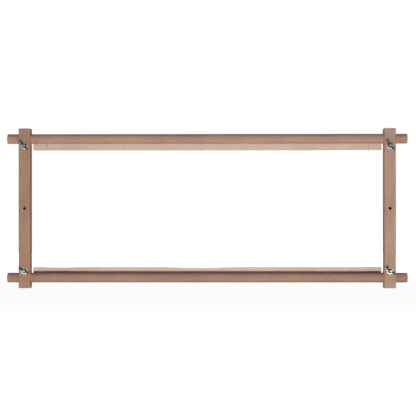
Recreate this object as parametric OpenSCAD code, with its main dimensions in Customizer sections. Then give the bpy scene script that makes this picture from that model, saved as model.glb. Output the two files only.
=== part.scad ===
// Rotating tapestry frame: two bored side bars clamp two rollers that carry webbing tapes.
// X runs along the rollers, Y from front to back and Z up. The bars stand on Z = 0.

/* [Rollers] */
// Diameter of a roller
roller_d = 21.2; // [18:0.1:25]
// Distance between the two roller axes
roller_spacing = 305; // [200:5:460]
// How far a roller stands out past each side bar
roller_stub = 26.3; // [15:0.1:40]
// Rounding of a roller's end
roller_end_r = 2; // [0.5:0.5:4]
// Radial clearance of a roller in its bore
roller_clear = 0.1; // [0.05:0.05:0.3]

/* [Side bars] */
// Width of a side bar, seen from the front
bar_w = 25.4; // [22:0.1:32]
// Depth of a side bar, from front to back
bar_t = 32; // [30:0.5:42]
// Wood from a roller's axis to the end of the bar
bar_end = 22.5; // [18:0.5:35]
// Radius of the eased long edges
bar_edge_r = 1.2; // [0.4:0.1:2.5]
// Radius of the eased end edges
bar_tip_r = 0.8; // [0.4:0.1:2]
// Width of the clamp slot sawn into each bar end
slot_w = 6; // [3:0.5:8]
// How far the clamp slot runs on past its bolt
slot_past_bolt = 21; // [12:1:32]

/* [Stand holes] */
// Diameter of the blind hole in the middle of each front face
front_hole_d = 6.4; // [4:0.1:8]
// Depth of the blind front hole
front_hole_depth = 22; // [12:1:26]
// Diameter of the two holes through each bar from side to side
side_hole_d = 6; // [4:0.1:8]
// Distance between the two side holes
side_hole_spacing = 82; // [50:1:120]

/* [Webbing tapes] */
// Length of a finished tape along its roller
tape_l = 768; // [400:1:1200]
// Width of the webbing
tape_w = 32; // [30:1:44]
// Thickness of the webbing
tape_t = 1.2; // [0.8:0.1:2]
// Webbing turned back behind each end as a hem
hem_l = 26; // [12:1:40]
// Space between a tape's end and the side bar
tape_gap = 3.5; // [1:0.5:8]
// How far the top tape hangs below its roller
tape_show_top = 14; // [8:0.5:18]
// How far the bottom tape stands above its roller
tape_show_bottom = 11.7; // [8:0.1:18]
// Clearance between a tape and its roller
tape_seat = 0.05; // [0.02:0.01:0.2]

/* [Staples] */
// Staples along one tape
staple_count = 12; // [6:1:24]
// Width of a staple's crown
staple_w = 10; // [6:0.5:13]
// Length of a staple's legs
staple_leg = 6; // [4:0.5:8]
// Thickness of the staple wire
staple_wire = 0.8; // [0.5:0.1:1.2]
// Distance from a tape's end to its first staple
staple_edge = 12; // [8:1:20]

/* [Clamp bolts] */
// Thread diameter of a clamp bolt
bolt_d = 5; // [4:0.5:6]
// Radial clearance of a bolt in the wood
bolt_clear = 0.25; // [0.1:0.05:0.5]
// Wood left between a roller's bore and the bolt hole
bolt_web = 2.05; // [1:0.05:5]
// How far the bolt's tip stands out of its wing nut
bolt_tip = 2.4; // [0.5:0.1:6]
// Chamfer on the bolt's tip
bolt_chamfer = 0.6; // [0.3:0.1:1]
// Diameter of the domed bolt head
head_d = 13; // [11:0.5:17]
// Height of the domed bolt head
head_h = 3; // [2:0.1:4.5]
// Depth of the square neck under the head
neck_h = 3.5; // [2:0.1:5]
// Clearance around the square neck
neck_clear = 0.05; // [0.02:0.01:0.2]
// Diameter of a washer
washer_d = 15; // [12:0.5:18]
// Thickness of a washer
washer_t = 1.2; // [0.8:0.1:2]
// Radial clearance of a washer on its bolt
washer_clear = 0.15; // [0.1:0.05:0.5]

/* [Wing nuts] */
// Diameter of the nut's foot
nut_foot_d = 10.4; // [9:0.1:13]
// Height of the nut's straight foot
nut_foot_h = 1.6; // [0.8:0.1:2.5]
// Diameter of the nut's neck at its top
nut_top_d = 8; // [7.2:0.1:9]
// Height of the nut's hub
nut_hub_h = 7.5; // [6:0.5:10]
// Chamfer on the foot and on the neck
nut_edge = 0.5; // [0.2:0.1:0.8]
// Span across both wings
wing_span = 27; // [22:0.5:33]
// Height of the wing tips above the washer
wing_h = 13.5; // [12:0.5:17]
// Radius of a wing's round tip
wing_tip_r = 3.4; // [2.5:0.1:4]
// Thickness of the wings at the hub
wing_root_t = 3; // [2.4:0.1:4]
// Thickness of the wings at the tip
wing_tip_t = 2.2; // [1.4:0.1:2.4]
// Height above the washer at which a wing leaves the hub
wing_low_h = 1.4; // [0.6:0.1:2.5]
// How far below the hub's top a wing meets it
wing_drop = 0.8; // [0.4:0.1:2]
// How deep a wing's root lies in the hub
wing_sink = 1; // [0.6:0.1:1.5]
// How full a wing's lower edge is
wing_belly = 2.4; // [1:0.1:4]
// How far out the dip between hub and wing reaches
wing_dip = 1.6; // [0.6:0.1:2.5]
// Radial clearance of a nut on its bolt
nut_clear = 0.1; // [0.05:0.05:0.3]
// Turn of the top left nut's wings from level
wing_turn_top_left = 48; // [0:1:180]
// Turn of the top right nut's wings from level
wing_turn_top_right = 50; // [0:1:180]
// Turn of the bottom left nut's wings from level
wing_turn_bottom_left = 27; // [0:1:180]
// Turn of the bottom right nut's wings from level
wing_turn_bottom_right = 38; // [0:1:180]

/* [Hidden] */
// Facets on round faces
$fn = 64;
// A cut runs this far past the face that it opens
cut_past = 1;
// Steps along each curve of a wing's outline
wing_steps = 7;
// Angles between which a wing's tip is round, from straight outwards
wing_round_from = -35;
wing_round_to = 150;

roller_r = roller_d / 2;
bore_r = roller_r + roller_clear;
bar_l = roller_spacing + 2 * bar_end;
z_top = bar_end + roller_spacing;
z_bottom = bar_end;
z_middle = bar_l / 2;
inner_w = tape_l + 2 * tape_gap;
bar_x = (inner_w + bar_w) / 2;
roller_l = inner_w + 2 * bar_w + 2 * roller_stub;

// The bolt stands just inboard of the roller's bore
bolt_hole_r = bolt_d / 2 + bolt_clear;
bolt_in = bore_r + bolt_web + bolt_hole_r;
slot_l = bar_end + bolt_in + slot_past_bolt;
stack_h = washer_t + nut_hub_h + bolt_tip;
neck_w = bolt_d;

// The origin lies under the middle of the whole frame, wing tips and bolt heads included
front_reach = bar_t / 2 + washer_t + wing_h;
back_reach = bar_t / 2 + head_h;
mid_y = (front_reach - back_reach) / 2;

// A tape's free part is straight from the level of the axis to its edge
tape_in_r = roller_r + tape_seat;
free_top = roller_r + tape_show_top;
free_bottom = roller_r + tape_show_bottom;

function arc(cx, cy, r, a0, a1, n) =
    [for (i = [0 : n]) let (a = a0 + (a1 - a0) * i / n) [cx + r * cos(a), cy + r * sin(a)]];

function curve(a, b, c, n) =
    [for (i = [0 : n]) let (t = i / n)
        a * (1 - t) * (1 - t) + 2 * b * t * (1 - t) + c * t * t];

// Angle of roller that a tape wraps past the axis, behind its free part
function wrap_angle(free) = (tape_w - free) / (tape_in_r + tape_t / 2) * 180 / PI;

module rounded_rect(w, h, r) {
    square([w - 2 * r, h], center = true);
    square([w, h - 2 * r], center = true);
    for (x = [-1, 1], y = [-1, 1])
        translate([x * (w / 2 - r), y * (h / 2 - r)]) circle(r);
}

// A bar centred on the origin, standing along Z, with all its edges eased
module eased_bar(w, t, l, edge_r, tip_r) {
    intersection() {
        linear_extrude(l, center = true) rounded_rect(w, t, edge_r);
        rotate([90, 0, 0]) linear_extrude(2 * t, center = true) rounded_rect(w, l, tip_r);
        rotate([90, 0, 90]) linear_extrude(2 * w, center = true) rounded_rect(t, l, tip_r);
    }
}

// Bore, slot, bolt hole and square neck of one clamp, at the upper end of a bar.
// The origin is on the roller's axis.
module clamp_cuts() {
    rotate([0, 90, 0]) cylinder(h = bar_w + 2 * cut_past, r = bore_r, center = true);
    translate([0, 0, bar_end + cut_past - (slot_l + cut_past) / 2])
        cube([bar_w + 2 * cut_past, slot_w, slot_l + cut_past], center = true);
    translate([0, 0, -bolt_in]) {
        rotate([90, 0, 0]) cylinder(h = bar_t + 2 * cut_past, r = bolt_hole_r, center = true);
        translate([0, bar_t / 2 - neck_h / 2 + cut_past / 2, 0])
            cube([neck_w + 2 * neck_clear, neck_h + cut_past, neck_w + 2 * neck_clear], center = true);
    }
}

module stand_holes() {
    translate([0, -bar_t / 2 - cut_past, 0])
        rotate([-90, 0, 0]) cylinder(h = front_hole_depth + cut_past, d = front_hole_d);
    for (z = [-1, 1])
        translate([0, 0, z * side_hole_spacing / 2])
            rotate([0, 90, 0]) cylinder(h = bar_w + 2 * cut_past, d = side_hole_d, center = true);
}

module side_bar(side) {
    translate([side * bar_x, mid_y, z_middle])
        difference() {
            eased_bar(bar_w, bar_t, bar_l, bar_edge_r, bar_tip_r);
            translate([0, 0, roller_spacing / 2]) clamp_cuts();
            translate([0, 0, -roller_spacing / 2]) mirror([0, 0, 1]) clamp_cuts();
            stand_holes();
        }
}

// A dowel with rounded ends
module roller(z) {
    translate([-roller_l / 2, mid_y, z]) rotate([0, 90, 0])
        rotate_extrude() {
            square([roller_r - roller_end_r, roller_l]);
            translate([0, roller_end_r]) square([roller_r, roller_l - 2 * roller_end_r]);
            for (end = [roller_end_r, roller_l - roller_end_r])
                translate([roller_r - roller_end_r, end]) intersection() {
                    circle(roller_end_r);
                    translate([0, -roller_end_r]) square([roller_end_r, 2 * roller_end_r]);
                }
        }
}

// Section of a tape of thickness t, seen along the roller with X towards the back.
// way is 1 where the free edge points up and -1 where it points down.
module tape_section(free, t, way) {
    wrap = wrap_angle(free);
    reach = 4 * roller_r;
    translate([tape_in_r, way < 0 ? -free : 0]) square([t, free]);
    intersection() {
        difference() {
            circle(tape_in_r + t);
            circle(tape_in_r);
        }
        polygon([[0, 0], [reach, 0], [reach * cos(wrap), -way * reach * sin(wrap)]]);
    }
}

// One tape, with its ends turned back behind it as hems
module tape(z, free, way) {
    translate([0, mid_y, z]) rotate([90, 0, 90]) {
        linear_extrude(tape_l, center = true) tape_section(free, tape_t, way);
        for (side = [-1, 1])
            translate([0, 0, side * (tape_l - hem_l) / 2])
                linear_extrude(hem_l, center = true) tape_section(free, 2 * tape_t, way);
    }
}

// Staples on the wrapped part of a tape, halfway between the tape's edge and the axis
module staples(z, free, way) {
    wrap = wrap_angle(free);
    pitch = (tape_l - 2 * staple_edge) / (staple_count - 1);
    for (i = [0 : staple_count - 1]) {
        x = -tape_l / 2 + staple_edge + i * pitch;
        layers = abs(x) > tape_l / 2 - hem_l - staple_w / 2 ? 2 : 1;
        translate([x, mid_y, z])
            rotate([-way * wrap / 2, 0, 0])
                translate([0, tape_in_r + layers * tape_t, 0])
                    staple();
    }
}

// A staple whose crown lies on the plane Y = 0 and whose legs point to -Y
module staple() {
    translate([0, staple_wire / 2, 0])
        cube([staple_w, staple_wire, staple_wire], center = true);
    for (side = [-1, 1])
        translate([side * (staple_w - staple_wire) / 2, (staple_wire - staple_leg) / 2, 0])
            cube([staple_wire, staple_leg + staple_wire, staple_wire], center = true);
}

// Puts a clamp's fittings on its bolt's axis, with +Z out of the bar's front face
module at_clamp(side, z, inboard) {
    translate([side * bar_x, mid_y - bar_t / 2, z + inboard * bolt_in])
        rotate([90, 0, 0]) children();
}

// A bolt with a domed head behind the bar, a square neck in the wood and a chamfered tip
module clamp_bolt() {
    shank_r = bolt_d / 2;
    dome_r = (head_d * head_d / 4 + head_h * head_h) / (2 * head_h);
    translate([0, 0, -bar_t]) {
        rotate_extrude() intersection() {
            translate([0, dome_r - head_h]) circle(dome_r);
            translate([0, -head_h]) square([head_d / 2, head_h]);
        }
        translate([-neck_w / 2, -neck_w / 2, 0]) cube([neck_w, neck_w, neck_h]);
        rotate_extrude()
            polygon([
                [0, 0], [shank_r, 0],
                [shank_r, bar_t + stack_h - bolt_chamfer],
                [shank_r - bolt_chamfer, bar_t + stack_h], [0, bar_t + stack_h]
            ]);
    }
}

module washer() {
    difference() {
        cylinder(h = washer_t, d = washer_d);
        translate([0, 0, -cut_past])
            cylinder(h = washer_t + 2 * cut_past, r = bolt_d / 2 + washer_clear);
    }
}

// Side view of one wing: X is away from the bolt and Y is up from the washer
function wing_outline() =
    let (
        tip = [wing_span / 2 - wing_tip_r, wing_h - wing_tip_r],
        low = [nut_foot_d / 2 - wing_sink, wing_low_h],
        high = [nut_top_d / 2 - wing_sink, nut_hub_h - wing_drop],
        out_p = tip + wing_tip_r * [cos(wing_round_from), sin(wing_round_from)],
        in_p = tip + wing_tip_r * [cos(wing_round_to), sin(wing_round_to)]
    )
    concat(
        [[0, low[1]]],
        curve(low, [out_p[0] - wing_belly, low[1] + wing_belly], out_p, wing_steps),
        arc(tip[0], tip[1], wing_tip_r, wing_round_from, wing_round_to, 2 * wing_steps),
        curve(in_p, [high[0] + wing_dip, high[1]], high, wing_steps),
        [[0, high[1]]]
    );

module wing_nut() {
    foot_r = nut_foot_d / 2;
    top_r = nut_top_d / 2;
    difference() {
        union() {
            rotate_extrude()
                polygon([
                    [0, 0], [foot_r - nut_edge, 0], [foot_r, nut_edge], [foot_r, nut_foot_h],
                    [top_r, nut_hub_h - nut_edge], [top_r - nut_edge, nut_hub_h], [0, nut_hub_h]
                ]);
            intersection() {
                rotate([90, 0, 0]) linear_extrude(2 * wing_root_t, center = true) {
                    polygon(wing_outline());
                    mirror([1, 0]) polygon(wing_outline());
                }
                linear_extrude(wing_h)
                    polygon([
                        [-wing_span / 2, -wing_tip_t / 2], [0, -wing_root_t / 2],
                        [wing_span / 2, -wing_tip_t / 2], [wing_span / 2, wing_tip_t / 2],
                        [0, wing_root_t / 2], [-wing_span / 2, wing_tip_t / 2]
                    ]);
            }
        }
        translate([0, 0, -cut_past])
            cylinder(h = nut_hub_h + 2 * cut_past, r = bolt_d / 2 + nut_clear);
    }
}

module bar_colour() color([0.63, 0.49, 0.41]) children();
module roller_colour() color([0.66, 0.52, 0.44]) children();
module tape_colour() color([0.80, 0.70, 0.63]) children();
module steel_colour() color([0.62, 0.62, 0.62]) children();

module side_bar_left() { bar_colour() side_bar(-1); }
module side_bar_right() { bar_colour() side_bar(1); }
module roller_top() { roller_colour() roller(z_top); }
module roller_bottom() { roller_colour() roller(z_bottom); }
module webbing_top() { tape_colour() tape(z_top, free_top, -1); }
module webbing_bottom() { tape_colour() tape(z_bottom, free_bottom, 1); }
module webbing_staples_top() { steel_colour() staples(z_top, free_top, -1); }
module webbing_staples_bottom() { steel_colour() staples(z_bottom, free_bottom, 1); }

module clamp_bolt_top_left() { steel_colour() at_clamp(-1, z_top, -1) clamp_bolt(); }
module clamp_bolt_top_right() { steel_colour() at_clamp(1, z_top, -1) clamp_bolt(); }
module clamp_bolt_bottom_left() { steel_colour() at_clamp(-1, z_bottom, 1) clamp_bolt(); }
module clamp_bolt_bottom_right() { steel_colour() at_clamp(1, z_bottom, 1) clamp_bolt(); }

module washer_top_left() { steel_colour() at_clamp(-1, z_top, -1) washer(); }
module washer_top_right() { steel_colour() at_clamp(1, z_top, -1) washer(); }
module washer_bottom_left() { steel_colour() at_clamp(-1, z_bottom, 1) washer(); }
module washer_bottom_right() { steel_colour() at_clamp(1, z_bottom, 1) washer(); }

// A nut sits on its washer, with its wings turned as the photograph shows them
module placed_nut(side, z, inboard, turn) {
    steel_colour() at_clamp(side, z, inboard)
        translate([0, 0, washer_t]) rotate([0, 0, -turn]) wing_nut();
}
module wing_nut_top_left() { placed_nut(-1, z_top, -1, wing_turn_top_left); }
module wing_nut_top_right() { placed_nut(1, z_top, -1, wing_turn_top_right); }
module wing_nut_bottom_left() { placed_nut(-1, z_bottom, 1, wing_turn_bottom_left); }
module wing_nut_bottom_right() { placed_nut(1, z_bottom, 1, wing_turn_bottom_right); }

side_bar_left();
side_bar_right();
roller_top();
roller_bottom();
webbing_top();
webbing_bottom();
webbing_staples_top();
webbing_staples_bottom();
clamp_bolt_top_left();
clamp_bolt_top_right();
clamp_bolt_bottom_left();
clamp_bolt_bottom_right();
washer_top_left();
washer_top_right();
washer_bottom_left();
washer_bottom_right();
wing_nut_top_left();
wing_nut_top_right();
wing_nut_bottom_left();
wing_nut_bottom_right();
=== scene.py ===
import math
import random

import bpy
import numpy as np
from mathutils import Matrix, Vector

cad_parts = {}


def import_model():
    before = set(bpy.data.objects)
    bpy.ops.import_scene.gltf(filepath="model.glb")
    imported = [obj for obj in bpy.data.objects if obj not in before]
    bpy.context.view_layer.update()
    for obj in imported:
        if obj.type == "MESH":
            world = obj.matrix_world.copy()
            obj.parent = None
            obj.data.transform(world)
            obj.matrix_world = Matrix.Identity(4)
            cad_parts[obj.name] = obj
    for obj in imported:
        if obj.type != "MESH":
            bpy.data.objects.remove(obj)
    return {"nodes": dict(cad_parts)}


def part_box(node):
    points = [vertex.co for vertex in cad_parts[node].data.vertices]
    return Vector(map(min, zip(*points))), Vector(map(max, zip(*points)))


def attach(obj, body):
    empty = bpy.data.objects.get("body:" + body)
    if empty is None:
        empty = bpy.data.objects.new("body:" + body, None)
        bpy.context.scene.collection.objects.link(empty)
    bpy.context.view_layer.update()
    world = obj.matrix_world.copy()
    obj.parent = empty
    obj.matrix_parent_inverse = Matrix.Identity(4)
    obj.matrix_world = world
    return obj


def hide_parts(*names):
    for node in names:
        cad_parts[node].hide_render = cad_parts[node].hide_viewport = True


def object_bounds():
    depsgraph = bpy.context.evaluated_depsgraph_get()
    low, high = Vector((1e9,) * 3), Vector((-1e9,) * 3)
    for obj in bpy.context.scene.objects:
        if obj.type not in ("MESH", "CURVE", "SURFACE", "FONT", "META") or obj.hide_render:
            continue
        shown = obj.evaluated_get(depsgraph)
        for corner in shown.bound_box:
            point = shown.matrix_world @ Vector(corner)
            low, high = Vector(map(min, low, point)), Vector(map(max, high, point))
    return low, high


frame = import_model()
cad_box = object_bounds()

# Looks of a rotating tapestry frame: beech bars and rollers, cotton webbing, plated clamp fittings.
# X runs along the rollers, Y from front to back and Z up. Lengths are in metres.
MM = 0.001
CORNERS = [(level, side) for level in ("top", "bottom") for side in ("left", "right")]

# Camera, as the photograph was taken
CAMERA_PLACE = (0.0439, -3.2377, 0.1668)
CAMERA_YAW = 0.0129
CAMERA_PITCH = 0.0027
CAMERA_ROLL = -0.0004
SENSOR = 36.0
LENS = 127.68

# Floor: half its side, its gap under the bars, and the distances over which it fades to plain white
FLOOR_HALF = 9.0
FLOOR_DROP = 0.1 * MM
FLOOR_FADE = (0.5, 1.5)

# Webbing
WEBBING_W = 32 * MM
SELVEDGE_W = 1.6 * MM
SELVEDGE_BULGE = 1.12
FOLD_GAP = 0.12 * MM
HEM_L = 26 * MM
STITCH_ROWS = (21.2 * MM, 23.9 * MM)
STITCH_PITCH = 3.1 * MM
STITCH_L = 2.5 * MM
THREAD_R = 0.26 * MM

# Painted shade over the hem's raw end: its offset from the end and its width
HEM_SHADE_OFF = 1.5 * MM
HEM_SHADE_W = 1.9 * MM
TWIST_PITCH = 0.5 * MM

# Dark spots on each tape: (place along the strip, place across it, radius)
DARK_SPOTS = {"top": [(57 * MM, 21.5 * MM, 2.6 * MM)], "bottom": []}

# Staples
STAPLE_COUNT = 12
STAPLE_W = 10 * MM
STAPLE_LEG = 6 * MM
STAPLE_WIRE = 0.8 * MM
STAPLE_BEND = 0.9 * MM

# Places where a tape's edge runs off its line: (place along it, half length, how far out)
SLACK = {
    "top": [(-0.02, 0.10, 0.25 * MM), (0.21, 0.06, 0.3 * MM), (0.33, 0.05, -0.3 * MM)],
    "bottom": [
        (0.0, 0.60, 0.5 * MM), (-0.016, 0.050, -2.1 * MM),
        (-0.323, 0.030, -1.0 * MM), (0.37, 0.04, 0.6 * MM),
    ],
}

# Clamp fittings, with an M5 thread
BOLT_D = 5 * MM
THREAD_PITCH = 0.8 * MM
THREAD_DEPTH = 0.45 * MM
THREAD_L = 20 * MM
TIP_CHAMFER = 0.6 * MM
NECK_H = 3.5 * MM
WASHER_CLEAR = 0.15 * MM
NUT_BORE_R = 2.6 * MM
NUT_VOXEL = 0.24 * MM


def linear(colour):
    """An sRGB colour, 0 to 255, as the linear RGBA that the nodes take."""
    shares = [c / 255 for c in colour]
    return [s / 12.92 if s <= 0.04045 else ((s + 0.055) / 1.055) ** 2.4 for s in shares] + [1.0]


def smooth(x, low, high):
    """0 below low, 1 above high, with a smooth step between them."""
    t = np.clip((x - low) / (high - low), 0, 1)
    return t * t * (3 - 2 * t)


class Graph:
    """One material's nodes, built by short calls that take and give sockets."""

    def __init__(self, name):
        self.material = bpy.data.materials.new(name)
        self.material.use_nodes = True
        self.tree = self.material.node_tree
        self.shader = self.tree.nodes["Principled BSDF"]

    def put(self, socket, value):
        if isinstance(value, bpy.types.NodeSocket):
            self.tree.links.new(value, socket)
        else:
            socket.default_value = value

    def add(self, kind, inputs=(), **settings):
        node = self.tree.nodes.new("ShaderNode" + kind)
        for key, value in settings.items():
            setattr(node, key, value)
        for key, value in dict(inputs).items():
            self.put(node.inputs[key], value)
        return node

    def math(self, operation, *values, clamp=False):
        node = self.add("Math", operation=operation, use_clamp=clamp)
        for socket, value in zip(node.inputs, values):
            self.put(socket, value)
        return node.outputs[0]

    def scaled(self, place, factors):
        """The place's three numbers, each times its own factor."""
        return self.join(*(self.math("MULTIPLY", part, factor) for part, factor in zip(place, factors)))

    def parts(self, vector):
        return self.add("SeparateXYZ", {"Vector": vector}).outputs

    def join(self, x, y, z):
        return self.add("CombineXYZ", {"X": x, "Y": y, "Z": z}).outputs[0]

    def span(self, value, low, high, to_low=0.0, to_high=1.0):
        inputs = {0: value, 1: low, 2: high, 3: to_low, 4: to_high}
        return self.add("MapRange", inputs, interpolation_type="SMOOTHSTEP").outputs[0]

    def noise(self, vector, scale=1.0, detail=2.0, rough=0.5):
        inputs = {"Vector": vector, "Scale": scale, "Detail": detail, "Roughness": rough}
        return self.add("TexNoise", inputs).outputs[0]

    def mix(self, factor, a, b, blend="MIX"):
        node = self.add("Mix", {0: factor, 6: a, 7: b}, data_type="RGBA", blend_type=blend)
        return node.outputs[2]

    def shade(self, colour, factor):
        """The colour times a number."""
        return self.mix(1.0, colour, self.join(factor, factor, factor), "MULTIPLY")

    def bump(self, height, distance, strength=1.0, normal=None):
        inputs = {"Height": height, "Distance": distance, "Strength": strength}
        if normal is not None:
            inputs["Normal"] = normal
        return self.add("Bump", inputs).outputs[0]

    def finish(self, **inputs):
        for key, value in inputs.items():
            self.put(self.shader.inputs[key.replace("_", " ")], value)
        return self.material


def log_place(g, centre, along):
    """Place in millimetres from a piece's centre, with the grain along the last number."""
    place = g.parts(g.add("TexCoord").outputs["Object"])
    order = {"X": (1, 2, 0), "Z": (0, 1, 2)}[along]
    return [
        g.math("MULTIPLY", g.math("SUBTRACT", place[i], centre[i]), 1 / MM)
        for i in order
    ]


def beech(name, node, along, heart, slope, tones, marks=()):
    """Bare beech: rings about a heart, ray flecks, fibres and a darker end grain, with painted shade near
    the edges, which handling also polishes.
    heart is the pith's place in the section, in millimetres, and slope the grain's run-out."""
    low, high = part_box(node)
    centre = (low + high) / 2
    half = [x / MM for x in (high - low) / 2]
    light, dark, end_tone = (linear(c) for c in tones)
    g = Graph(name)
    place = log_place(g, centre, along)
    a, b, l = place

    # The grain wanders a little along the piece
    drift = g.noise(g.scaled(place, (0.01, 0.01, 0.006)), detail=1.0)
    wander = g.math("MULTIPLY", g.math("SUBTRACT", drift, 0.5), 9.0)
    across = g.math("ADD", g.math("SUBTRACT", a, heart[0]), g.math("MULTIPLY", l, slope[0]))
    upward = g.math("ADD", g.math("SUBTRACT", b, heart[1]), g.math("MULTIPLY", l, slope[1]))
    radius = g.math("SQRT", g.math("ADD", g.math("POWER", across, 2.0), g.math("POWER", upward, 2.0)))
    radius = g.math("ADD", radius, wander)
    round_way = g.math("MULTIPLY", g.math("ARCTAN2", upward, across), math.hypot(*heart))

    # Growth rings of uneven width, each darkest at its outer side
    years = g.math("MULTIPLY", g.noise(g.join(g.math("MULTIPLY", radius, 0.11), 0.0, 0.0), detail=1.0), 3.0)
    year = g.math("FRACT", g.math("ADD", g.math("MULTIPLY", radius, 0.42), years))
    ring = g.math("MULTIPLY", g.math("POWER", year, 2.5), g.span(year, 0.93, 1.0, 1.0, 0.0))

    # Rays: thin round the ring, long towards the heart and a few millimetres high
    rays = g.add(
        "TexVoronoi",
        {
            "Vector": g.join(
                g.math("MULTIPLY", round_way, 1.7), g.math("MULTIPLY", radius, 0.14),
                g.math("MULTIPLY", l, 0.36)
            ),
            "Scale": 1.0,
        },
    )
    fleck = g.math(
        "MULTIPLY",
        g.span(rays.outputs["Distance"], 0.16, 0.36, 1.0, 0.0),
        g.span(g.parts(rays.outputs["Color"])[0], 0.35, 0.9),
    )

    # Fibres and slow changes of tone along the board
    thread = g.noise(g.scaled(place, (2.6, 2.6, 0.045)), detail=4.0, rough=0.6)
    streak = g.noise(g.scaled(place, (0.35, 0.35, 0.008)), detail=3.0)
    patch = g.noise(g.scaled(place, (0.03, 0.03, 0.014)), detail=2.0)
    mottle = g.noise(g.scaled(place, (0.3, 0.3, 0.16)), detail=3.0, rough=0.65)
    tone = g.math("ADD", g.math("MULTIPLY", ring, 0.26), g.math("MULTIPLY", g.span(thread, 0.3, 0.7), 0.2))
    tone = g.math("ADD", tone, g.math("MULTIPLY", g.span(streak, 0.3, 0.7), 0.2))
    tone = g.math("ADD", tone, g.math("MULTIPLY", g.span(mottle, 0.35, 0.65), 0.26))
    tone = g.math("ADD", tone, g.math("MULTIPLY", g.span(patch, 0.3, 0.7), 0.28))
    tone = g.math("SUBTRACT", tone, 0.12, clamp=True)
    colour = g.mix(tone, light, dark)
    colour = g.mix(g.math("MULTIPLY", fleck, 0.85), colour, g.shade(colour, 0.55))

    # End grain drinks more dirt and finish
    face = g.parts(g.add("TexCoord").outputs["Normal"])["XYZ".index(along)]
    end = g.span(g.math("ABSOLUTE", face), 0.55, 0.95)
    colour = g.mix(g.math("MULTIPLY", end, 0.8), colour, g.mix(tone, end_tone, g.shade(end_tone, 0.72)))

    # Edges: painted shade darkens the colour near them and handling polishes them; the second nearest pair
    # of faces gives how far the nearest edge is
    if along == "Z":
        gaps = [g.math("SUBTRACT", size, g.math("ABSOLUTE", at)) for size, at in zip(half, (a, b, l))]
        nearest = g.math("MINIMUM", g.math("MINIMUM", gaps[0], gaps[1]), gaps[2])
        farthest = g.math("MAXIMUM", g.math("MAXIMUM", gaps[0], gaps[1]), gaps[2])
        total = g.math("ADD", g.math("ADD", gaps[0], gaps[1]), gaps[2])
        edge_gap = g.math("SUBTRACT", g.math("SUBTRACT", total, nearest), farthest)
    else:
        edge_gap = g.math("SUBTRACT", half[0], g.math("ABSOLUTE", l))
    chatter = g.noise(g.scaled(place, (0.5, 0.5, 0.16)), detail=3.0)
    reach = g.math("MULTIPLY", chatter, 3.4)
    edge_shade_and_polish = g.math("SUBTRACT", 1.0, g.math("DIVIDE", edge_gap, reach), clamp=True)
    # Painted shade: darker near the edges
    colour = g.mix(g.math("MULTIPLY", edge_shade_and_polish, 0.5), colour, g.shade(colour, 0.68))

    # Darker bands, painted shade round the clamps and dirt where the roller ends are handled: (millimetres
    # along the grain, half width, depth of tone)
    for at, width, depth in marks:
        off = g.math("ABSOLUTE", g.math("SUBTRACT", l, at))
        band = g.math("MULTIPLY", g.span(off, width * 0.4, width, 1.0, 0.0), g.span(chatter, 0.35, 0.7))
        colour = g.mix(g.math("MULTIPLY", band, depth), colour, g.shade(colour, 0.7))

    height = g.math("ADD", g.math("MULTIPLY", thread, 0.6), g.math("MULTIPLY", ring, 0.25))
    height = g.math("SUBTRACT", height, g.math("MULTIPLY", fleck, 0.3))
    rough = g.math("ADD", 0.56, g.math("MULTIPLY", thread, 0.2))
    rough = g.math("SUBTRACT", rough, g.math("MULTIPLY", edge_shade_and_polish, 0.14))
    g.finish(
        Base_Color=colour,
        Roughness=rough,
        Specular_IOR_Level=0.0,
        Normal=g.bump(height, 0.12 * MM, 0.8),
    )
    return g.material


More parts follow.
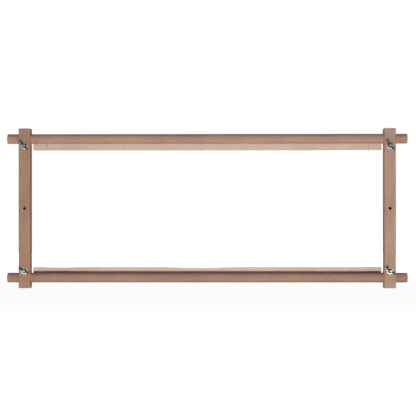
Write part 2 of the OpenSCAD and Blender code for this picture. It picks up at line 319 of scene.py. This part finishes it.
def cotton(name, length, dark_spots=()):
    """Herringbone cotton webbing of the given length, read from the strip's own flat coordinates."""
    g = Graph(name)
    flat = g.parts(g.add("UVMap", uv_map="flat").outputs[0])
    u = g.math("MULTIPLY", flat[0], 1 / MM)
    v = g.math("MULTIPLY", flat[1], 1 / MM)
    width = WEBBING_W / MM
    rib = g.math("PINGPONG", v, 4.0)
    slant = g.math("SINE", g.math("MULTIPLY", g.math("ADD", u, rib), 2 * math.pi / 1.15))
    weft = g.math("SINE", g.math("MULTIPLY", u, 2 * math.pi / 0.62))
    warp = g.math("SINE", g.math("MULTIPLY", v, 2 * math.pi / 0.8))
    cross = g.math("MULTIPLY", weft, warp)
    weave = g.math("ADD", g.math("MULTIPLY", slant, 0.5), g.math("MULTIPLY", cross, 0.35))
    edge = g.math("MINIMUM", v, g.math("SUBTRACT", width, v))
    selvedge = g.span(edge, SELVEDGE_W / MM * 0.8, SELVEDGE_W / MM * 1.1, 1.0, 0.0)
    rope = g.math("SINE", g.math("MULTIPLY", u, 2 * math.pi / 1.3))
    rope = g.math("MULTIPLY", rope, 0.6)
    height = g.add("Mix", {0: selvedge, 2: weave, 3: rope}, data_type="FLOAT").outputs[0]
    yarn = g.noise(g.join(g.math("MULTIPLY", u, 0.05), g.math("MULTIPLY", v, 1.6), 0.0), detail=3.0)
    slub = g.noise(g.join(g.math("MULTIPLY", u, 0.8), g.math("MULTIPLY", v, 0.08), 3.0), detail=3.0)
    soil = g.noise(g.join(g.math("MULTIPLY", u, 0.012), g.math("MULTIPLY", v, 0.05), 7.0), detail=3.0)
    colour = g.mix(g.span(yarn, 0.35, 0.65), linear((228, 203, 184)), linear((210, 184, 164)))
    colour = g.mix(g.math("MULTIPLY", g.span(slub, 0.5, 0.75), 0.4), colour, linear((206, 182, 160)))
    colour = g.mix(g.math("MULTIPLY", g.span(soil, 0.45, 0.75), 0.4), colour, linear((205, 176, 152)))
    # Painted shade: the colour is darker in the weave's low places
    depth = g.span(height, -0.7, 0.5, 0.88, 1.0)
    colour = g.shade(colour, depth)

    # Painted shade: a dark line on the front where the hem's raw end lies under the cloth. Each dark spot
    # is given by its place and radius
    end_gap = g.math("MINIMUM", u, g.math("SUBTRACT", length / MM, u))
    off_line = g.math("ABSOLUTE", g.math("SUBTRACT", end_gap, 2 * HEM_L / MM + HEM_SHADE_OFF / MM))
    hem_edge_shade = g.span(off_line, 0.3, HEM_SHADE_W / MM, 1.0, 0.0)
    colour = g.mix(g.math("MULTIPLY", hem_edge_shade, 0.3), colour, linear((150, 122, 102)))
    for at_u, at_v, radius in dark_spots:
        du = g.math("SUBTRACT", u, at_u / MM)
        dv = g.math("SUBTRACT", v, at_v / MM)
        far = g.math("SQRT", g.math("ADD", g.math("POWER", du, 2.0), g.math("POWER", dv, 2.0)))
        far = g.math("ADD", far, g.math("MULTIPLY", g.math("SUBTRACT", slub, 0.5), 1.5))
        blot = g.span(far, radius / MM * 0.4, radius / MM, 0.8, 0.0)
        colour = g.mix(blot, colour, linear((118, 84, 62)))
    fuzz = g.noise(g.add("TexCoord").outputs["Object"], scale=2200.0, detail=2.0)
    relief = g.math("ADD", g.math("MULTIPLY", height, 0.5), g.math("MULTIPLY", fuzz, 0.4))
    return g.finish(
        Base_Color=colour,
        Roughness=0.92,
        Sheen_Weight=0.12,
        Sheen_Roughness=0.5,
        Specular_IOR_Level=0.15,
        Normal=g.bump(relief, 0.16 * MM, 0.9),
    )


def sewing_thread(name):
    """Twisted cotton thread of the hems."""
    g = Graph(name)
    place = g.parts(g.add("TexCoord").outputs["Object"])
    run = g.math("ADD", place[2], g.math("ADD", place[0], place[1]))
    twist = g.math("SINE", g.math("MULTIPLY", run, 2 * math.pi / TWIST_PITCH))
    # Painted shade: the colour is darker in the twist's grooves
    colour = g.mix(g.span(twist, -1.0, 1.0), linear((205, 184, 164)), linear((232, 214, 196)))
    return g.finish(Base_Color=colour, Roughness=0.85, Normal=g.bump(twist, 0.05 * MM))


def metal(name, colour, rough, grain, blotch=0.25, coarse=0.0):
    """Plated steel or cast zinc with fine scratches, dull blotches and a little tarnish."""
    g = Graph(name)
    place = g.add("TexCoord").outputs["Object"]
    cloud = g.noise(place, scale=180.0, detail=4.0, rough=0.6)
    speck = g.noise(place, scale=1300.0, detail=3.0)
    drawn = g.add("Mapping", {"Vector": place, "Scale": (9000.0, 900.0, 700.0)}).outputs[0]
    lines = g.noise(drawn, detail=2.0)
    shade = g.math("ADD", 1.0 - blotch / 2, g.math("MULTIPLY", g.span(cloud, 0.3, 0.7), blotch))
    base = g.shade(linear(colour), shade)
    base = g.mix(g.math("MULTIPLY", g.span(speck, 0.62, 0.75), 0.5), base, linear((96, 84, 70)))
    roughness = g.math("ADD", rough, g.math("MULTIPLY", g.math("SUBTRACT", cloud, 0.5), 0.35))
    roughness = g.math("ADD", roughness, g.math("MULTIPLY", g.span(speck, 0.5, 0.8), 0.2))
    relief = g.math("ADD", g.math("MULTIPLY", lines, grain), g.math("MULTIPLY", speck, coarse))
    return g.finish(
        Base_Color=base,
        Metallic=1.0,
        Roughness=roughness,
        Normal=g.bump(relief, 0.05 * MM, 0.6),
    )


def mesh_object(name, points, faces, material, soft=True):
    """A mesh object with its vertices in the row frame."""
    mesh = bpy.data.meshes.new(name)
    mesh.from_pydata([tuple(p) for p in points], [], faces)
    mesh.update()
    mesh.materials.append(material)
    mesh.polygons.foreach_set("use_smooth", [soft] * len(mesh.polygons))
    piece = bpy.data.objects.new(name, mesh)
    bpy.context.scene.collection.objects.link(piece)
    return piece


def sharpen(piece, degrees=35):
    """Keeps creases sharper than the given angle."""
    piece.data.set_sharp_from_angle(angle=math.radians(degrees))


def tube_faces(rings, count, closed=False, first=0):
    """Quads between rings of count points each, and caps unless the rings close on themselves."""
    faces = []
    for ring in range(rings if closed else rings - 1):
        near, far = first + ring * count, first + (ring + 1) % rings * count
        for k in range(count):
            nxt = (k + 1) % count
            faces.append((near + k, near + nxt, far + nxt, far + k))
    if not closed:
        faces.append(tuple(first + k for k in reversed(range(count))))
        faces.append(tuple(first + (rings - 1) * count + k for k in range(count)))
    return faces


class Tape:
    """Where a webbing tape lies: stapled round the back of its roller, with its free part straight.
    A point is given by x, by how far out it is from the roller's side, and by v across the width."""

    def __init__(self, level):
        roller_low, roller_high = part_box(f"roller_{level}")
        low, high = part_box(f"webbing_{level}")
        self.level = level
        self.way = -1 if level == "top" else 1
        self.radius = (roller_high.z - roller_low.z) / 2
        self.axis_y = (roller_low.y + roller_high.y) / 2
        self.axis_z = (roller_low.z + roller_high.z) / 2
        self.length = high.x - low.x
        self.thick = (high.y - roller_high.y) / 2
        outer = high.y - self.axis_y
        free_edge, wrapped_edge = (low.z, high.z) if level == "top" else (high.z, low.z)
        self.wrap = math.asin(abs(wrapped_edge - self.axis_z) / outer)
        self.wrap_l = self.wrap * (self.radius + self.thick / 2)
        self.width = abs(free_edge - self.axis_z) + self.wrap_l

    def wander(self, x):
        """How far the webbing was laid off its line at x."""
        return sum(depth * np.exp(-(((x - at) / reach) ** 2)) for at, reach, depth in SLACK[self.level])

    def place(self, x, out, v):
        """Points in the row frame. v runs from the stapled edge to the free one."""
        x, out, v = np.broadcast_arrays(*(np.asarray(n, float) for n in (x, out, v)))
        v = v + self.wander(x)
        angle = np.clip((self.wrap_l - v) / (self.radius + self.thick / 2), 0, None)
        hang = np.clip(v - self.wrap_l, 0, None)
        far = self.radius + out
        loose = smooth(hang, 0, 0.02)
        ripple = 0.35 * MM * loose * (np.sin(x * 37 + 1.3) + 0.6 * np.sin(x * 91 + 0.4))
        y = self.axis_y + far * np.cos(angle) + ripple
        z = self.axis_z - self.way * far * np.sin(angle) + self.way * hang
        return np.stack([x, y, z], -1)


def webbing(tape):
    """The strip as a closed sheet, with each end folded back behind as a hem."""
    thick = tape.thick - FOLD_GAP / 2
    turn_r = (thick + FOLD_GAP) / 2
    turn_x = tape.length / 2 - thick / 2 - turn_r
    first_out = thick / 2 + 0.03 * MM
    second_out = first_out + 2 * turn_r
    hem_end = tape.length / 2 - HEM_L

    # The strip's middle surface from one raw end to the other: (x, out, normal's angle)
    half = []
    for x in np.linspace(0, turn_x, 190)[:-1]:
        half.append((x, first_out, 0.0))
    for a in np.linspace(0, math.pi, 9):
        half.append((turn_x + turn_r * math.sin(a), first_out + turn_r * (1 - math.cos(a)), a))
    for x in np.linspace(turn_x, hem_end, 15)[1:]:
        half.append((x, second_out, math.pi))
    path = [(-x, out, -a) for x, out, a in reversed(half[1:])] + half

    # The section across the width: thicker selvedges with round sides
    ladder = [0.0, 0.25, 0.6, 1.0, 1.3, 1.6, 2.2]
    edge = [n * MM for n in ladder]
    inner = list(np.linspace(3.4 * MM, tape.width - 3.4 * MM, 19))
    stations = edge + inner + [tape.width - n for n in reversed(edge)]

    def thickness(v):
        side = min(v, tape.width - v)
        bulge = 1 + (SELVEDGE_BULGE - 1) * (1 - float(smooth(side, SELVEDGE_W * 0.8, SELVEDGE_W * 1.2)))
        rounding = math.sqrt(max(0.0, 1 - (1 - min(side / (0.55 * MM), 1)) ** 2))
        return thick / 2 * bulge * max(rounding, 0.12)

    section = [(v, thickness(v)) for v in stations]
    section += [(v, -thickness(v)) for v in reversed(stations)]
    points, flats = [], []
    run = 0.0
    for k, (x, out, a) in enumerate(path):
        if k:
            run += math.hypot(x - path[k - 1][0], out - path[k - 1][1])
        dent = sum(math.exp(-(((tape.length / 2 - abs(x)) - row) / (1.0 * MM)) ** 2) for row in STITCH_ROWS)
        squeeze = 1 - 0.16 * dent
        v = np.array([s[0] for s in section])
        m = np.array([s[1] for s in section]) * squeeze
        ring = tape.place(x + m * math.sin(a) * -1, out + m * math.cos(a), v)
        points.extend(ring)
        flats.extend((run, s[0]) for s in section)
    count = len(section)
    piece = mesh_object(f"webbing_cloth_{tape.level}", points, tube_faces(len(path), count), None)
    layer = piece.data.uv_layers.new(name="flat")
    for loop in piece.data.loops:
        layer.data[loop.index].uv = flats[loop.vertex_index]
    sharpen(piece, 60)
    return piece, run


def sweep(path, section, frames):
    """Points of a section swept along a path, with (across, up) given at each point of it."""
    points = []
    for at, (across, up) in zip(path, frames):
        points.extend(at + across * s[0] + up * s[1] for s in section)
    return points


def hem_stitches(tape, material):
    """Two rows of stitches across each hem, seen on both sides of the webbing."""
    points, faces = [], []
    rings, sides = 5, 6
    circle = [(math.cos(2 * math.pi * k / sides), math.sin(2 * math.pi * k / sides)) for k in range(sides)]
    surfaces = [-0.08 * MM, 2 * tape.thick + 0.06 * MM]
    stitches = int((tape.width - 3 * MM) / STITCH_PITCH)
    for side in (-1, 1):
        for row in STITCH_ROWS:
            x = side * (tape.length / 2 - row)
            for out in surfaces:
                start = tape.wrap_l + 9 * MM if out < tape.thick else 1.5 * MM
                for i in range(stitches):
                    v0 = 1.6 * MM + i * STITCH_PITCH
                    if v0 < start:
                        continue
                    first = len(points)
                    for j in range(rings):
                        t = j / (rings - 1)
                        swell = max(0.25, math.sin(math.pi * t) ** 0.5)
                        dip = (1 - math.sin(math.pi * t)) * 0.3 * MM
                        base = out + (dip if out < tape.thick else -dip)
                        for c, s in circle:
                            r = THREAD_R * swell
                            points.append(tape.place(x + c * r, base + s * r, v0 + t * STITCH_L))
                    faces += tube_faces(rings, sides, first=first)
    return mesh_object(f"hem_stitches_{tape.level}", points, faces, material)


def staples(tape, material):
    """Flat wire staples that hold the webbing to the roller, each a little off true."""
    rng = random.Random(11 if tape.level == "top" else 12)
    low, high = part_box(f"webbing_staples_{tape.level}")
    span = high.x - low.x - STAPLE_W
    half = STAPLE_WIRE / 2
    bevel = 0.16 * MM
    section = []
    for cx, cy, start in ((1, 1, 0), (-1, 1, 90), (-1, -1, 180), (1, -1, 270)):
        for step in (0, 45, 90):
            a = math.radians(start + step)
            across = cx * (half - bevel) + bevel * math.cos(a)
            section.append((across, cy * (half - bevel) * 0.75 + bevel * math.sin(a)))
    points, faces = [], []
    for i in range(STAPLE_COUNT):
        x = low.x + STAPLE_W / 2 + span * i / (STAPLE_COUNT - 1)
        hemmed = abs(x) > tape.length / 2 - HEM_L - STAPLE_W / 2
        crown = tape.radius + tape.thick * (2 if hemmed else 1) + half * 0.5
        angle = -tape.way * tape.wrap / 2
        turn = Matrix.Translation((x, tape.axis_y, tape.axis_z))
        turn = turn @ Matrix.Rotation(angle + math.radians(rng.uniform(-2, 2)), 4, "X")
        turn = turn @ Matrix.Rotation(math.radians(rng.uniform(-4, 4)), 4, "Y")
        reach = STAPLE_W / 2 - half
        path = [(-reach, crown - STAPLE_LEG), (-reach, crown - STAPLE_BEND)]
        path += [
            (-reach + STAPLE_BEND * (1 - math.cos(a)), crown - STAPLE_BEND * (1 - math.sin(a)))
            for a in (math.radians(d) for d in (22, 45, 68, 90))
        ]
        path += [(-p[0], p[1]) for p in reversed(path)]
        spots, frames = [], []
        for k, (px, py) in enumerate(path):
            before, after = path[max(k - 1, 0)], path[min(k + 1, len(path) - 1)]
            way = Vector((after[0] - before[0], after[1] - before[1], 0)).normalized()
            spots.append(turn @ Vector((px, py, 0)))
            frames.append((turn.to_3x3() @ Vector((-way.y, way.x, 0)), turn.to_3x3() @ Vector((0, 0, 1))))
        first = len(points)
        flat_section = [(s[1], s[0]) for s in section]
        points += sweep(spots, flat_section, frames)
        faces += tube_faces(len(path), len(section), first=first)
    piece = mesh_object(f"staple_wires_{tape.level}", points, faces, material)
    sharpen(piece, 50)
    return piece


def clamp_frame(level, side):
    """Local frame of a clamp's fittings: the origin on the bar's front face, +Z towards the viewer."""
    low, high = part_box(f"washer_{level}_{side}")
    place = Vector(((low.x + high.x) / 2, high.y, (low.z + high.z) / 2))
    return Matrix.Translation(place) @ Matrix.Rotation(math.pi / 2, 4, "X")


def turned(name, rows, radius_at, count, place, material, hollow=False):
    """A lathe-like piece: rows are (height, radius), and radius_at shapes each row round the axis."""
    points = []
    for height, radius in rows:
        for k in range(count):
            a = 2 * math.pi * k / count
            r = radius_at(height, radius, a)
            points.append(place @ Vector((r * math.cos(a), r * math.sin(a), height)))
    return mesh_object(name, points, tube_faces(len(rows), count, closed=hollow), material)


def clamp_bolt(level, side, material):
    """A domed bolt with a square neck in the wood and a rolled thread on its front end."""
    name = f"clamp_bolt_{level}_{side}"
    low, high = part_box(name)
    place = clamp_frame(level, side)
    front = place.translation.y
    tip = front - low.y
    head_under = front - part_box(f"side_bar_{side}")[1].y
    head_top = front - high.y
    head_r = (high.x - low.x) / 2
    head_h = head_under - head_top
    shank = BOLT_D / 2
    thread_end = tip - THREAD_L

    rows = []
    dome_r = (head_r ** 2 + head_h ** 2) / (2 * head_h)
    rim = 0.5 * MM
    for k in range(14):
        share = (k + 0.25) / 13.25
        r = head_r * share * 0.97
        rows.append((head_top + dome_r - math.sqrt(dome_r ** 2 - r ** 2), r))
    rows += [(head_under - rim * 0.9, head_r), (head_under - rim * 0.35, head_r - 0.05 * MM)]
    rows += [(head_under, head_r - 0.3 * MM), (head_under, shank * 1.45)]
    rows += [(head_under + 0.01 * MM, -1.0), (head_under + NECK_H - 0.3 * MM, -1.0)]
    rows += [(head_under + NECK_H, shank), (thread_end - 0.5 * MM, shank)]
    steps = int(THREAD_L / THREAD_PITCH * 8)
    for k in range(steps + 1):
        rows.append((thread_end + THREAD_L * k / steps, 0.0))
    rows += [(tip, shank - TIP_CHAMFER - 0.35 * MM)]

    def radius_at(height, radius, a):
        if radius == -1.0:
            return min(shank * 1.35, shank / max(abs(math.cos(a)), abs(math.sin(a))))
        if radius > 0:
            return radius
        wave = abs(((height / THREAD_PITCH - a / (2 * math.pi)) % 1.0) - 0.5) * 2
        cut = THREAD_DEPTH * max(0.0, min(1.0, wave * 1.35 - 0.12))
        cut *= float(smooth(height, thread_end, thread_end + THREAD_PITCH))
        chamfer = max(0.0, height - (tip - TIP_CHAMFER))
        return min(shank - cut, shank - chamfer)

    piece = turned(f"bolt_{level}_{side}", rows, radius_at, 40, place, material)
    sharpen(piece, 40)
    return piece


def washer(level, side, material):
    """A stamped washer, with its punched side rounded and a small burr's edge on the other."""
    low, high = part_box(f"washer_{level}_{side}")
    outer = (high.x - low.x) / 2
    inner = BOLT_D / 2 + WASHER_CLEAR
    thick = high.y - low.y
    soft, crisp = 0.45 * MM, 0.12 * MM
    profile = [(0, outer - crisp), (crisp, outer), (thick - soft, outer)]
    profile += [
        (thick - soft * (1 - math.sin(a)), outer - soft * (1 - math.cos(a)))
        for a in (math.radians(d) for d in (25, 50, 75, 90))
    ]
    profile += [
        (thick - soft * (1 - math.sin(a)), inner + soft * (1 - math.cos(a)))
        for a in (math.radians(d) for d in (90, 60, 30, 0))
    ]
    profile += [(crisp, inner), (0, inner + crisp)]
    piece = turned(f"flat_washer_{level}_{side}", profile, lambda h, r, a: r, 72,
                   clamp_frame(level, side), material, hollow=True)
    sharpen(piece, 50)
    return piece


def wing_nut(level, side, material):
    """The nut as a casting: its hub and wings melt into each other, over a bore and a flat foot."""
    node = f"wing_nut_{level}_{side}"
    piece = bpy.data.objects.new(f"cast_{node}", frame["nodes"][node].data.copy())
    bpy.context.scene.collection.objects.link(piece)
    weld = piece.modifiers.new("Weld", "WELD")
    weld.merge_threshold = 0.002 * MM
    remesh = piece.modifiers.new("Remesh", "REMESH")
    remesh.mode = "VOXEL"
    remesh.voxel_size = NUT_VOXEL
    melt = piece.modifiers.new("Smooth", "SMOOTH")
    melt.factor = 0.5
    melt.iterations = 9
    shaped = bpy.data.meshes.new_from_object(piece.evaluated_get(bpy.context.evaluated_depsgraph_get()))
    piece.modifiers.clear()
    piece.data = shaped
    shaped.name = piece.name

    # The bore and the foot's flat stay where the solid has them
    place = clamp_frame(level, side)
    back = place.inverted()
    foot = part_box(f"washer_{level}_{side}")[0].y
    for vertex in shaped.vertices:
        p = back @ vertex.co
        r = math.hypot(p.x, p.y)
        if r < NUT_BORE_R:
            p.x, p.y = p.x * NUT_BORE_R / r, p.y * NUT_BORE_R / r
        q = place @ p
        q.y = min(q.y, foot)
        vertex.co = q
    shaped.materials.clear()
    shaped.materials.append(material)
    shaped.polygons.foreach_set("use_smooth", [True] * len(shaped.polygons))
    return piece


# Wood: the rings' heart lies outside each piece, as in a board sawn from a log
BAR_TONES = ((178, 144, 122), (146, 112, 93), (142, 106, 84))
RIGHT_TONES = ((186, 156, 136), (155, 125, 107), (148, 113, 92))
ROLLER_TONES = ((194, 156, 134), (160, 124, 104), (148, 110, 90))
LOW_ROLLER_TONES = ((178, 143, 123), (147, 114, 96), (140, 105, 87))
# Painted shade in a band round each clamp on the bars
CLAMP_SHADE = [(152.5, 12, 0.25), (-152.5, 12, 0.25)]
HANDLED = [(425, 24, 0.5), (-425, 24, 0.5)]
WOODS = {
    "side_bar_left": ("Z", (-34.0, -61.0), (0.004, 0.006), BAR_TONES, CLAMP_SHADE),
    "side_bar_right": ("Z", (47.0, -38.0), (-0.005, 0.003), RIGHT_TONES, CLAMP_SHADE),
    "roller_top": ("X", (22.0, 31.0), (0.008, 0.005), ROLLER_TONES, HANDLED),
    "roller_bottom": ("X", (-29.0, 18.0), (-0.006, 0.009), LOW_ROLLER_TONES, HANDLED),
}


def dress_wood():
    for node, (along, heart, slope, tones, marks) in WOODS.items():
        slots = frame["nodes"][node].material_slots
        if not slots:
            frame["nodes"][node].data.materials.append(None)
        for slot in frame["nodes"][node].material_slots:
            slot.material = beech(f"beech_{node}", node, along, heart, slope, tones, marks)


def dress_tapes():
    thread = sewing_thread("sewing_thread")
    wire = metal("staple_wire", (172, 170, 166), 0.34, 0.4)
    for level in ("top", "bottom"):
        tape = Tape(level)
        body = f"{level}_roller"
        sheet, length = webbing(tape)
        sheet.data.materials[0] = cotton(f"cotton_webbing_{level}", length, DARK_SPOTS[level])
        stitches = hem_stitches(tape, thread)
        pins = staples(tape, wire)
        for piece, slot in ((sheet, "webbing"), (stitches, "webbing"), (pins, "staple_wire")):
            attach(piece, body)
        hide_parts(f"webbing_{level}")
        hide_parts(f"webbing_staples_{level}")


def dress_fittings():
    zinc = metal("zinc_plate", (218, 218, 214), 0.17, 0.3, blotch=0.2)
    cast = metal("cast_zinc", (76, 71, 65), 0.4, 0.2, blotch=0.35, coarse=0.8)
    steel = metal("bolt_steel", (196, 194, 188), 0.2, 0.4)
    for level, side in CORNERS:
        name = f"{level}_{side}"
        pieces = (
            (clamp_bolt(level, side, steel), f"{side}_bar", f"clamp_bolt_{name}"),
            (washer(level, side, zinc), f"{name}_washer", f"washer_{name}"),
            (wing_nut(level, side, cast), f"{name}_nut", f"wing_nut_{name}"),
        )
        for piece, body, node in pieces:
            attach(piece, body)
            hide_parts(node)


def camera():
    data = bpy.data.cameras.new("camera")
    data.sensor_width = SENSOR
    data.lens = LENS
    data.clip_start, data.clip_end = 0.1, 50
    view = bpy.data.objects.new("camera", data)
    bpy.context.scene.collection.objects.link(view)
    view.location = CAMERA_PLACE
    level_look = Matrix.Rotation(math.pi / 2, 3, "X")
    turn = Matrix.Rotation(CAMERA_YAW, 3, "Z") @ Matrix.Rotation(CAMERA_PITCH, 3, "X") @ level_look
    view.rotation_euler = (turn @ Matrix.Rotation(CAMERA_ROLL, 3, "Z")).to_euler()
    bpy.context.scene.camera = view


def lamp(name, azimuth, elevation, distance, size, power):
    """A soft rectangular light that faces the middle of the frame. Azimuth 0 is the front, 90 the right."""
    middle = Vector((0, 0, (cad_box[0].z + cad_box[1].z) / 2))
    a, e = math.radians(azimuth), math.radians(elevation)
    out = Vector((math.sin(a) * math.cos(e), -math.cos(a) * math.cos(e), math.sin(e)))
    data = bpy.data.lights.new(name, "AREA")
    data.shape = "RECTANGLE"
    data.size, data.size_y = size
    data.energy = power
    light = bpy.data.objects.new(name, data)
    bpy.context.scene.collection.objects.link(light)
    light.location = middle + out * distance
    light.rotation_euler = out.to_track_quat("Z", "Y").to_euler()
    light.visible_camera = False


def shown_ray(g):
    """1 for rays that should see a white studio: the camera's, and what metal reflects."""
    path = g.add("LightPath").outputs
    seen = g.math("MAXIMUM", path["Is Camera Ray"], path["Is Glossy Ray"])
    return g.math("MAXIMUM", seen, path["Is Transmission Ray"])


def floor():
    """A pale floor that shows white but for the shadow on it, and lets the low lamp through."""
    g = Graph("floor")
    paths = g.add("LightPath").outputs
    place = g.add("TexCoord").outputs["Object"]
    away = g.add("VectorMath", {0: place}, operation="LENGTH").outputs["Value"]
    pale = g.span(away, *FLOOR_FADE, 0.86, 1.0)
    white = g.add("Emission", {"Color": g.join(pale, pale, pale), "Strength": 1.0})
    matt = g.add("BsdfDiffuse", {"Color": (0.34, 0.34, 0.34, 1.0)})
    plain = g.add("BsdfDiffuse", {"Color": (0.6, 0.6, 0.6, 1.0)})
    both = g.add("AddShader", {0: white.outputs[0], 1: matt.outputs[0]})
    seen = g.add("MixShader", {0: shown_ray(g), 1: plain.outputs[0], 2: both.outputs[0]})
    clear = g.add("BsdfTransparent")
    last = g.add("MixShader", {0: paths["Is Shadow Ray"], 1: seen.outputs[0], 2: clear.outputs[0]})
    g.tree.links.new(last.outputs[0], g.tree.nodes["Material Output"].inputs["Surface"])
    g.tree.nodes.remove(g.shader)
    signs = ((-1, -1), (1, -1), (1, 1), (-1, 1))
    corners = [(x * FLOOR_HALF, y * FLOOR_HALF, -FLOOR_DROP) for x, y in signs]
    mesh_object("floor", corners, [(0, 1, 2, 3)], g.material, soft=False)


def world():
    """White behind the object and low in front of it, dim elsewhere, over an even soft light."""
    scene_world = bpy.data.worlds.new("studio")
    scene_world.use_nodes = True
    bpy.context.scene.world = scene_world
    tree = scene_world.node_tree
    g = Graph.__new__(Graph)
    g.tree = tree
    paths = g.add("LightPath").outputs
    direction = g.parts(g.add("TexCoord").outputs["Generated"])
    behind = g.span(direction[1], 0.1, 0.6, 0.13, 0.95)
    ahead = g.span(direction[1], -0.9, -0.6, 1.0, 0.0)
    low = g.span(direction[2], -0.01, 0.035, 1.0, 0.12)
    mirrored = g.math("MAXIMUM", behind, g.math("MULTIPLY", ahead, low))
    even = 0.11
    soft = g.add("Mix", {0: paths["Is Glossy Ray"], 2: even, 3: mirrored}, data_type="FLOAT").outputs[0]
    level = g.add("Mix", {0: paths["Is Camera Ray"], 2: soft, 3: 1.0}, data_type="FLOAT").outputs[0]
    g.put(tree.nodes["Background"].inputs["Color"], g.join(level, level, level))


camera()
dress_wood()
dress_tapes()
dress_fittings()
floor()
world()
lamp("key", 3, -20, 2.6, (1.6, 0.4), 57)
lamp("left", -80, 3, 2.4, (1.0, 1.0), 14)
lamp("right", 80, 3, 2.4, (1.0, 1.0), 14)
lamp("back", 180, 8, 2.6, (1.6, 1.0), 40)
lamp("overhead", 0, 84, 2.4, (1.6, 1.6), 5)
bpy.context.scene.view_settings.view_transform = "Standard"
